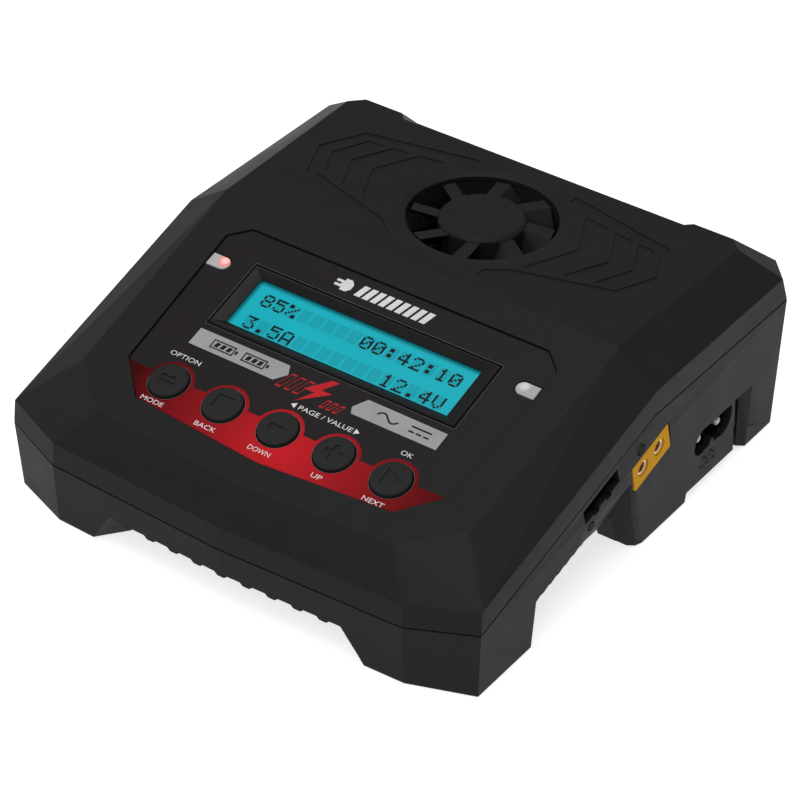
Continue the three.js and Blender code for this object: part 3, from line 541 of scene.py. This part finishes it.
# Radii of the pale ring round each button, a painted highlight of the hole's rim; the red zone leaves a
# hole inside it.
RING_IN = BUTTON_R + 0.27
RING_OUT = BUTTON_R + 0.38


def red_outline():
    """Lower part of the panel, its upper edge arching over each button."""
    lower = [(45.75, RED_TOP), (36.75, 64.45), (1.0, 67.15)]  # right half, down to the front edge
    lower += [(-x, v) for x, v in reversed(lower)]
    half = math.asin((BUTTON_V - RED_TOP) / RED_R)
    arch = []
    for x in sorted(BUTTONS.values()):
        for i in range(ARCH_STEPS + 1):
            angle = math.pi + half - (math.pi + 2 * half) * i / ARCH_STEPS
            arch.append((x + RED_R * math.cos(angle), BUTTON_V - RED_R * math.sin(angle)))
    return [p for p in arch if p[1] <= RED_TOP + 0.01] + lower


def slanted(x0, x1, v0, v1, lean):
    """Four-sided outline whose upright sides lean to the right by the given run."""
    return [(x0 + lean, v0), (x1 + lean, v0), (x1, v1), (x0, v1)]


def inset_pair(points, width):
    """The outline and a copy of it moved inwards, as the two borders of a line."""
    middle = [sum(p[i] for p in points) / len(points) for i in (0, 1)]
    inner = []
    for x, v in points:
        reach = math.hypot(x - middle[0], v - middle[1])
        scale = 1 - width / reach
        inner.append((middle[0] + (x - middle[0]) * scale, middle[1] + (v - middle[1]) * scale))
    return [points, inner]


def stroke(points, width):
    """Outline of a line of the given width through the points."""
    sides = ([], [])
    for i, (x, v) in enumerate(points):
        x0, v0 = points[max(i - 1, 0)]
        x1, v1 = points[min(i + 1, len(points) - 1)]
        length = math.hypot(x1 - x0, v1 - v0)
        nx, nv = -(v1 - v0) / length * width / 2, (x1 - x0) / length * width / 2
        sides[0].append((x + nx, v + nv))
        sides[1].append((x - nx, v - nv))
    return sides[0] + sides[1][::-1]


def upright(half, top, low):
    """Rectangle centred across the panel, between two places down the slope."""
    return [(-half, top), (half, top), (half, low), (-half, low)]


def panel_prints_and_highlights():
    """The red zone, a painted highlight round each button where its hole's rim catches the light, the two
    grey plates, and a painted highlight line round the display where the sheet's cut edge catches the
    light.
    """
    holes = [circle(x, BUTTON_V, RING_IN) for x in BUTTONS.values()]
    flat_print_or_highlight("print_red_zone", [red_outline(), *holes], "red", ZONE_LIFT)
    # painted highlight: a pale ring round each button, where the rim of its hole catches the light
    rings = [circle(x, BUTTON_V, r) for x in BUTTONS.values() for r in (RING_OUT, RING_IN)]
    flat_print_or_highlight("painted_button_ring_highlights", rings, "painted_highlight_grey", RING_LIFT)
    left = [(-35.8, 39.8), (-35.8, 45.0), (-10.8, 45.1), (-8.3, 42.3), (-9.5, 39.7)]
    right = [(13.1, 39.8), (35.4, 39.9), (35.4, 45.1), (11.7, 45.1), (10.8, 43.3)]
    flat_print_or_highlight("print_plate_left", [left], "print_grey", PLATE_LIFT)
    flat_print_or_highlight("print_plate_right", [right], "print_grey", PLATE_LIFT)
    # painted highlight: a pale line round the display's frame, where the sheet's cut edge catches the light
    half, top, low = 35.85, 16.85, 37.95
    line = 0.1
    borders = [upright(half + line, top - line, low + line), upright(half, top, low)]
    flat_print_or_highlight("painted_frame_highlight_line", borders, "painted_highlight_grey", PLATE_LIFT)


TIP_GAP, TIP_END = 0.25, 0.9  # where a battery's terminal starts and ends beside its case


def battery(x, v, length, height, line):
    """A battery's outer and inner outline and its terminal."""
    case = [(x, v - height / 2), (x + length, v - height / 2)]
    case += [(x + length, v + height / 2), (x, v + height / 2)]
    hollow = [(x + line, v - height / 2 + line), (x + length - line, v - height / 2 + line)]
    hollow += [(x + length - line, v + height / 2 - line), (x + line, v + height / 2 - line)]
    near, far = x + length + TIP_GAP, x + length + TIP_END
    tip = [(near, v - height / 5), (far, v - height / 5), (far, v + height / 5), (near, v + height / 5)]
    return case, hollow, tip


def plate_symbols():
    """Two batteries on the left plate; alternating and direct current on the right plate."""
    shapes = []
    for x in (-30.6, -21.4):
        case, hollow, tip = battery(x, 42.45, 6.6, 2.7, 0.36)
        bars = [slanted(x + 0.85 + i * 1.75, x + 2.0 + i * 1.75, 41.75, 43.15, 0.35) for i in range(3)]
        shapes += [case, hollow, tip, *bars]
    wave = [(17.3 + i * 0.3, 42.4 - 0.95 * math.sin(i * math.pi / 10)) for i in range(21)]
    shapes.append(stroke(wave, 0.46))
    shapes.append([(26.6, 41.45), (32.2, 41.45), (32.2, 41.92), (26.6, 41.92)])
    for i in range(3):
        x = 26.6 + i * 2.05
        shapes.append([(x, 42.95), (x + 1.5, 42.95), (x + 1.5, 43.42), (x, 43.42)])
    flat_print_or_highlight("print_plate_symbols", shapes, "print_dark", SYMBOL_LIFT)


def emblem():
    """Plain charge gauge above the display: a plug and a row of slanted bars."""
    bars = []
    for i in range(9):
        x = -8.7 + i * 2.35
        bars.append(slanted(x, x + 1.65, 10.9, 14.6, 1.1))
    plug = [(-15.0, 11.7), (-12.9, 11.7), (-12.9, 10.9), (-11.2, 10.9), (-10.2, 12.0)]
    plug += [(-10.2, 13.5), (-11.2, 14.6), (-12.9, 14.6), (-12.9, 13.8), (-15.0, 13.8)]
    gap = [(-15.2, 12.45), (-13.4, 12.45), (-13.4, 13.05), (-15.2, 13.05)]
    flat_print_or_highlight("print_emblem", [*bars, plug], "print_white", MARK_LIFT)
    flat_print_or_highlight("print_emblem_gap", [gap], "print_dark", SYMBOL_LIFT)


def red_mark():
    """Lightning bolt between slanted speed bars."""
    bolt = [(2.3, 38.9), (-2.6, 43.9), (0.4, 43.9), (-2.5, 47.9), (4.6, 42.5), (1.5, 42.5), (4.3, 38.9)]
    left = [slanted(-9.6 + i * 2.5, -8.1 + i * 2.5, 41.4, 46.2, 2.2) for i in range(3)]
    right = [slanted(3.6 + i * 1.9, 4.7 + i * 1.9, 44.2, 46.9, 1.2) for i in range(3)]
    flat_print_or_highlight("print_bolt", [bolt], "print_mark", MARK_LIFT)
    frames = [line for outer in left + right for line in inset_pair(outer, 0.45)]
    flat_print_or_highlight("print_speed_bars", frames, "print_mark", MARK_LIFT)


ARROW_SPREAD = 0.62  # half of the triangle's width in units of its length


def arrow(x, v, side, size):
    """Triangle with its tip at (x, v), pointing right for side 1 and left for -1."""
    half = size * ARROW_SPREAD
    return [(x, v), (x - side * size, v - half), (x - side * size, v + half)]


panel_prints_and_highlights()
plate_symbols()
emblem()
red_mark()
arrows = [arrow(-2.6, 49.1, -1, 1.35), arrow(16.9, 49.1, 1, 1.35)]
flat_print_or_highlight("print_arrows", arrows, "print_white", MARK_LIFT)
for name, text, x, v, width in (
    ("label_mode", "MODE", -36.2, 64.25, 6.4),
    ("label_back", "BACK", -20.0, 64.8, 6.0),
    ("label_down", "DOWN", -4.4, 64.8, 6.2),
    ("label_up", "UP", 13.6, 64.8, 2.9),
    ("label_next", "NEXT", 27.9, 64.8, 5.8),
    ("label_menu", "OPTION", -38.0, 49.8, 8.8),
    ("label_page", "PAGE / VALUE", -0.4, 49.8, 15.2),
    ("label_ok", "OK", 28.6, 49.8, 3.2),
):
    label(name, text, x, v, width)


# ---------------------------------------------------------------- display
GLYPHS = {
    "0": "01110 10001 10011 10101 11001 10001 01110",
    "1": "00100 01100 00100 00100 00100 00100 01110",
    "2": "01110 10001 00001 00010 00100 01000 11111",
    "3": "11111 00010 00100 00010 00001 10001 01110",
    "4": "00010 00110 01010 10010 11111 00010 00010",
    "5": "11111 10000 11110 00001 00001 10001 01110",
    "8": "01110 10001 10001 01110 10001 10001 01110",
    "A": "01110 10001 10001 10001 11111 10001 10001",
    "V": "10001 10001 10001 10001 10001 01010 00100",
    "%": "11000 11001 00010 00100 01000 10011 00011",
    ".": "00000 00000 00000 00000 00000 01100 01100",
    ":": "00000 01100 01100 00000 01100 01100 00000",
}
ROWS = ("85%     00:42:10", "3.5A       12.4V")
CELL_PITCH = 3.62
CELL_LEFT = -28.6
ROW_TOPS = (22.75, 30.2)
DOT = 0.6
DOT_TALL = 0.555
FILM_TOP = -1.98
FILM = 0.01
DOT_LIFT = 0.012


def rectangles(name, boxes, height, material):
    """Thin rectangles (x0, v0, x1, v1) on the display film."""
    bm = bmesh.new()
    for x0, v0, x1, v1 in boxes:
        matrix = Matrix.Translation(((x0 + x1) / 2, -(v0 + v1) / 2, height)) @ Matrix.Diagonal(
            (x1 - x0, v1 - v0, FILM, 1)
        )
        bmesh.ops.create_cube(bm, size=1, matrix=PANEL @ matrix)
    place_object(name, mesh_from(bm, name), material)


def display_content():
    """The empty character cells and the lit dots of both rows."""
    cells, dots = [], []
    for text, top in zip(ROWS, ROW_TOPS):
        for column, character in enumerate(text):
            left = CELL_LEFT + column * CELL_PITCH
            cells.append((left, top, left + 5 * DOT, top + 7 * DOT_TALL))
            for row, bits in enumerate(GLYPHS.get(character, "").split()):
                for i, bit in enumerate(bits):
                    if bit == "1":
                        x, v = left + i * DOT, top + row * DOT_TALL
                        dots.append((x, v, x + DOT, v + DOT_TALL))
    rectangles("display_cells", cells, FILM_TOP, "cells")
    rectangles("display_dots", dots, FILM_TOP + DOT_LIFT, "dots")


display_content()


# ---------------------------------------------------------------- buttons
TURN_STEPS = 48


def turned(name, profile):
    """Solid of revolution about Z from (radius, height) pairs that start and end on the axis."""
    bm = bmesh.new()
    turn = 2 * math.pi / TURN_STEPS
    rings = []
    for r, z in profile:
        if r == 0:
            rings.append([bm.verts.new((0, 0, z))])
            continue
        around = [(r * math.cos(i * turn), r * math.sin(i * turn), z) for i in range(TURN_STEPS)]
        rings.append([bm.verts.new(place) for place in around])
    for low, high in zip(rings, rings[1:]):
        for i in range(TURN_STEPS):
            j = (i + 1) % TURN_STEPS
            corners = [low[i % len(low)], low[j % len(low)], high[j % len(high)], high[i % len(high)]]
            unique = list(dict.fromkeys(corners))
            if len(unique) > 2:
                bm.faces.new(unique)
    bmesh.ops.recalc_face_normals(bm, faces=bm.faces)
    return mesh_from(bm, name)


EDGE_STEPS = 6


def button_profile():
    """Half section of a cap: hidden flange below, rounded edge on top."""
    r, top, edge = BUTTON_R, BUTTON_TOP, 0.5
    low, flange_top = -4.5, -3.75
    wide = r + BUTTON_FLANGE
    curve = [(0, low), (wide, low), (wide, flange_top), (r, flange_top), (r, top - edge)]
    for i in range(1, EDGE_STEPS + 1):
        angle = math.pi / 2 * i / EDGE_STEPS
        curve.append((r - edge + edge * math.cos(angle), top - edge + edge * math.sin(angle)))
    return curve + [(0, top)]


def bar(x0, y0, x1, y1, width):
    """A straight stroke as four corner points."""
    along = Vector((x1 - x0, y1 - y0)).normalized()
    across = Vector((-along.y, along.x)) * width / 2
    return [
        (x0 + across.x, y0 + across.y),
        (x1 + across.x, y1 + across.y),
        (x1 - across.x, y1 - across.y),
        (x0 - across.x, y0 - across.y),
    ]


SYMBOLS = {
    "button_mode": [
        [(-2.3, 0.45), (2.3, 0.45), (1.0, 1.85), (1.0, 1.1), (-2.3, 1.1)],
        [(2.3, -0.45), (-2.3, -0.45), (-1.0, -1.85), (-1.0, -1.1), (2.3, -1.1)],
    ],
    "button_stop": [[(-2.2, -2.0), (2.2, -2.0), (2.2, 2.3), (-2.2, 2.3)]],
    "button_minus": [bar(-2.3, 0, 2.3, 0, 1.4)],
    "button_plus": [bar(-2.3, 0, 2.3, 0, 1.4), bar(0, -2.3, 0, 2.3, 1.4)],
    "button_start": [[(-1.9, -2.2), (2.5, 0.1), (-1.9, 2.4)]],
}


def prism(points, low, high):
    """Upright solid on the outline."""
    bm = bmesh.new()
    base = [bm.verts.new((px, py, low)) for px, py in points]
    lid = [bm.verts.new((px, py, high)) for px, py in points]
    bm.faces.new(base[::-1])
    bm.faces.new(lid)
    for i in range(len(points)):
        j = (i + 1) % len(points)
        bm.faces.new((base[i], base[j], lid[j], lid[i]))
    bmesh.ops.recalc_face_normals(bm, faces=bm.faces)
    return mesh_from(bm, "prism")


SYMBOL_DEPTH = 0.3


def make_button(node, x):
    """A rubber cap with its engraved symbol."""
    name = node.replace("button", "key")
    piece = loose(name, turned(node, button_profile()))
    for points in SYMBOLS[node]:
        cutter = loose("symbol_cutter", prism(points, BUTTON_TOP - SYMBOL_DEPTH, BUTTON_TOP + 1))
        engrave = piece.modifiers.new("engrave", "BOOLEAN")
        engrave.operation = "DIFFERENCE"
        engrave.object = cutter
        engrave.solver = "EXACT"
        apply_modifiers(piece)
        bpy.data.objects.remove(cutter)
    piece.data.transform(PANEL @ Matrix.Translation((x, -BUTTON_V, 0)))
    shade(piece.data)
    piece.data.materials.clear()
    piece.data.materials.append(MATERIALS["rubber"])
    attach(piece, node)
    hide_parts(node)


for node, x in BUTTONS.items():
    make_button(node, x)


# ---------------------------------------------------------------- CAD nodes that stay, and softened copies
def softened(node, name, width, material, body="root"):
    """The CAD node with a small radius along its edges."""
    piece = loose(name, tidy_copy(node))
    round_edges(piece, width)
    flat_normals(piece)
    piece.data.materials.clear()
    piece.data.materials.append(MATERIALS[material])
    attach(piece, body)
    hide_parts(node)


softened("lcd_bezel", "display_frame", 0.1, "bezel")
softened("panel_overlay", "panel_sheet", 0.05, "sheet")
softened("output_socket_right", "power_socket_right", 0.08, "amber")
softened("output_socket_left", "power_socket_left", 0.08, "amber")
softened("dc_inlet", "supply_inlet", 0.08, "amber")
softened("fan_rotor", "fan_wheel", 0.2, "fan", body="fan_rotor")


# ---------------------------------------------------------------- side sockets and marks
SIDE_X = 66.5  # half width of the case at the floor
SIDE_DRAFT = 0.0475  # how much a side wall leans out per unit of height
PRINT_LIFT = 0.015
CORE_R, CORE_BORE = 1.38, 0.35
CORE_LENGTH = 6.0
CORE_SETBACK = 0.2
CORE_GAP = math.radians(9)  # half of the slit between two quarters
CORE_STEPS = 5


def contact_core(node):
    """Split copper core inside the tube of a power contact; its dark brown is partly copper and partly a
    painted shade for the inside of the bore.
    """
    low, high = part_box(node)
    side = math.copysign(1, low.x)
    front = max(abs(low.x), abs(high.x)) / MM - CORE_SETBACK
    y, z = (low.y + high.y) / 2 / MM, (low.z + high.z) / 2 / MM
    bm = bmesh.new()
    sweep = math.pi / 2 - 2 * CORE_GAP
    for quarter in range(4):
        start = quarter * math.pi / 2 + CORE_GAP
        arc = [start + sweep * i / CORE_STEPS for i in range(CORE_STEPS + 1)]
        section = [(CORE_R * math.cos(a), CORE_R * math.sin(a)) for a in arc]
        section += [(CORE_BORE * math.cos(a), CORE_BORE * math.sin(a)) for a in reversed(arc)]
        ends = []
        for x in (side * front, side * (front - CORE_LENGTH)):
            ends.append([bm.verts.new((x * MM, (y + a) * MM, (z + b) * MM)) for a, b in section])
        bm.faces.new(ends[0])
        bm.faces.new(ends[1][::-1])
        for i in range(len(section)):
            j = (i + 1) % len(section)
            bm.faces.new((ends[0][i], ends[1][i], ends[1][j], ends[0][j]))
    bmesh.ops.recalc_face_normals(bm, faces=bm.faces)
    place_object(node + "_core", mesh_from(bm, "core"), "core")


def wall_print(name, side, y, z, shapes):
    """Outlines of (along the wall, up) points laid on a side wall, which leans outwards with height."""
    bm = bmesh.new()
    for points in shapes:
        verts = []
        for a, b in points:
            x = SIDE_X + SIDE_DRAFT * (z + b) + PRINT_LIFT
            verts.append(bm.verts.new((side * x * MM, (y + a) * MM, (z + b) * MM)))
        bm.faces.new(verts)
    bmesh.ops.recalc_face_normals(bm, faces=bm.faces)
    place_object(name, mesh_from(bm, name), "print_black_and_painted_groove_shade")


RING_STEPS = 24
WAVE_STEPS = 30


def ring_pieces(r, width):
    """A ring line as four-sided pieces."""
    turn = 2 * math.pi / RING_STEPS
    pieces = []
    for i in range(RING_STEPS):
        a, b = i * turn, (i + 1) * turn
        corners = ((r, a), (r, b), (r - width, b), (r - width, a))
        pieces.append([(q * math.cos(t), q * math.sin(t)) for q, t in corners])
    return pieces


def wave_pieces(length, height, width, turns):
    """A sine line as short upright four-sided pieces."""
    line = []
    for i in range(WAVE_STEPS + 1):
        share = i / WAVE_STEPS
        line.append((length * share - length / 2, height * math.sin(2 * math.pi * turns * share)))
    pieces = []
    for (a, p), (b, q) in zip(line, line[1:]):
        pieces.append([(a, p - width), (b, q - width), (b, q + width), (a, p + width)])
    return pieces


dashes = [bar(-3.5 + i * 2.6, -2.4, -1.8 + i * 2.6, -2.4, 0.45) for i in range(3)]
wall_print("mark_supply", 1, 35.0, 9.9, wave_pieces(7.0, 0.8, 0.22, 2) + dashes)
for node in nodes:
    if node.startswith("output_socket") and "contact" in node:
        contact_core(node)
for side, place in ((1, "right"), (-1, "left")):
    minus = bar(-0.6, -0.17, 0.6, 0.17, 0.3)
    first_pin = bar(0, -0.5, 0, 0.5, 0.35)
    # The rings and bars of these marks stand for engraved lines: their black is a painted shade of the
    # grooves.
    wall_print(f"mark_minus_{place}", side, -0.9, 32.7, [*ring_pieces(1.5, 0.42), minus])
    wall_print(f"mark_balance_{place}", side, -21.1, 22.7, [*ring_pieces(1.3, 0.4), first_pin])

FINISHES = (
    # the power contacts take the pale contact metal, partly a painted highlight
    ("output_socket_right_contact", "rim"),
    ("output_socket_left_contact", "rim"),
    ("lcd_glass", "display"),
    ("lcd_module", "bezel"),
    ("led_window_left", "lamp_left"),
    ("led_window_right", "lamp_right"),
    ("led_", "print_white"),
    ("foot_pad", "pad"),
    ("case_screw", "nickel"),
    ("switch_", "black"),
    ("fan_frame", "fan"),
    ("fan_motor", "copper"),
    ("balance_pins", "nickel"),
    ("ac_pin", "nickel"),
    ("panel_board", "board"),
    ("main_board", "board"),
    ("heat_sink", "anodised"),
    ("transformer", "ferrite"),
    ("bulk_capacitor", "sleeve"),
    ("inductor", "copper"),
    ("transistor", "black"),
)


def finish_for(node):
    """Material of a CAD node that is shown as it is."""
    for start, material in FINISHES:
        if node.startswith(start):
            return material
    return "gold" if "contact" in node else "black"


for node, piece in nodes.items():
    if piece.hide_render:
        continue
    piece.data.materials.clear()
    piece.data.materials.append(MATERIALS[finish_for(node)])

# ---------------------------------------------------------------- stage, light and camera
CAMERA_TARGET = Vector((7.4, -11.9, 27.1)) * MM
CAMERA_AZIMUTH = 33.864
CAMERA_ELEVATION = 35.531
CAMERA_ROLL = 1.883
CAMERA_DISTANCE = 790.6 * MM
CAMERA_LENS = 148.76
LIGHT_TARGET = Vector((0, 0, 0.03))
LIGHT_DISTANCE = 1.6
FLOOR_HALF = 6  # metres, like the light's distance and sizes
FLOOR_GLOW = 0.74
WORLD_GLOW = 0.36


def direction(azimuth, elevation):
    """Unit vector towards a place seen at an azimuth (0 is the front) and elevation, in degrees."""
    a, e = math.radians(azimuth), math.radians(elevation)
    return Vector((math.sin(a) * math.cos(e), -math.cos(a) * math.cos(e), math.sin(e)))


def add_camera():
    data = bpy.data.cameras.new("camera")
    data.lens = CAMERA_LENS
    data.sensor_width = 36
    data.clip_end = 50
    camera = bpy.data.objects.new("camera", data)
    bpy.context.scene.collection.objects.link(camera)
    back = direction(CAMERA_AZIMUTH, CAMERA_ELEVATION)
    camera.location = CAMERA_TARGET + back * CAMERA_DISTANCE
    rotation = back.to_track_quat("Z", "Y").to_matrix()
    camera.rotation_euler = (rotation @ Matrix.Rotation(math.radians(CAMERA_ROLL), 3, "Z")).to_euler()
    bpy.context.scene.camera = camera


def soft_box(name, azimuth, elevation, size, watts):
    """Square area light that faces the middle of the case."""
    data = bpy.data.lights.new(name, "AREA")
    data.shape = "SQUARE"
    data.size = size
    data.energy = watts
    light = bpy.data.objects.new(name, data)
    bpy.context.scene.collection.objects.link(light)
    toward = direction(azimuth, elevation)
    light.location = LIGHT_TARGET + toward * LIGHT_DISTANCE
    light.rotation_euler = toward.to_track_quat("Z", "Y").to_euler()


def add_floor():
    material, tree, shader = node_tree("studio_floor")
    shader.inputs["Base Color"].default_value = (0.45, 0.45, 0.45, 1)
    shader.inputs["Roughness"].default_value = 0.9
    shader.inputs["Specular IOR Level"].default_value = 0.0
    shader.inputs["Emission Color"].default_value = (1, 1, 1, 1)
    shader.inputs["Emission Strength"].default_value = FLOOR_GLOW
    bm = bmesh.new()
    bmesh.ops.create_grid(bm, x_segments=1, y_segments=1, size=FLOOR_HALF)
    floor = bpy.data.objects.new("floor", mesh_from(bm, "floor"))
    floor.data.materials.append(material)
    bpy.context.scene.collection.objects.link(floor)


def add_world():
    world = bpy.data.worlds.new("studio")
    world.use_nodes = True
    background = world.node_tree.nodes["Background"]
    background.inputs["Color"].default_value = (1, 1, 1, 1)
    background.inputs["Strength"].default_value = WORLD_GLOW
    bpy.context.scene.world = world


add_camera()
add_floor()
add_world()
soft_box("top_box", azimuth=0, elevation=88, size=1.6, watts=20)
soft_box("left_box", azimuth=-75, elevation=20, size=1.0, watts=4.2)
soft_box("front_box", azimuth=8, elevation=48, size=1.0, watts=8.6)
bpy.context.scene.view_settings.view_transform = "Standard"
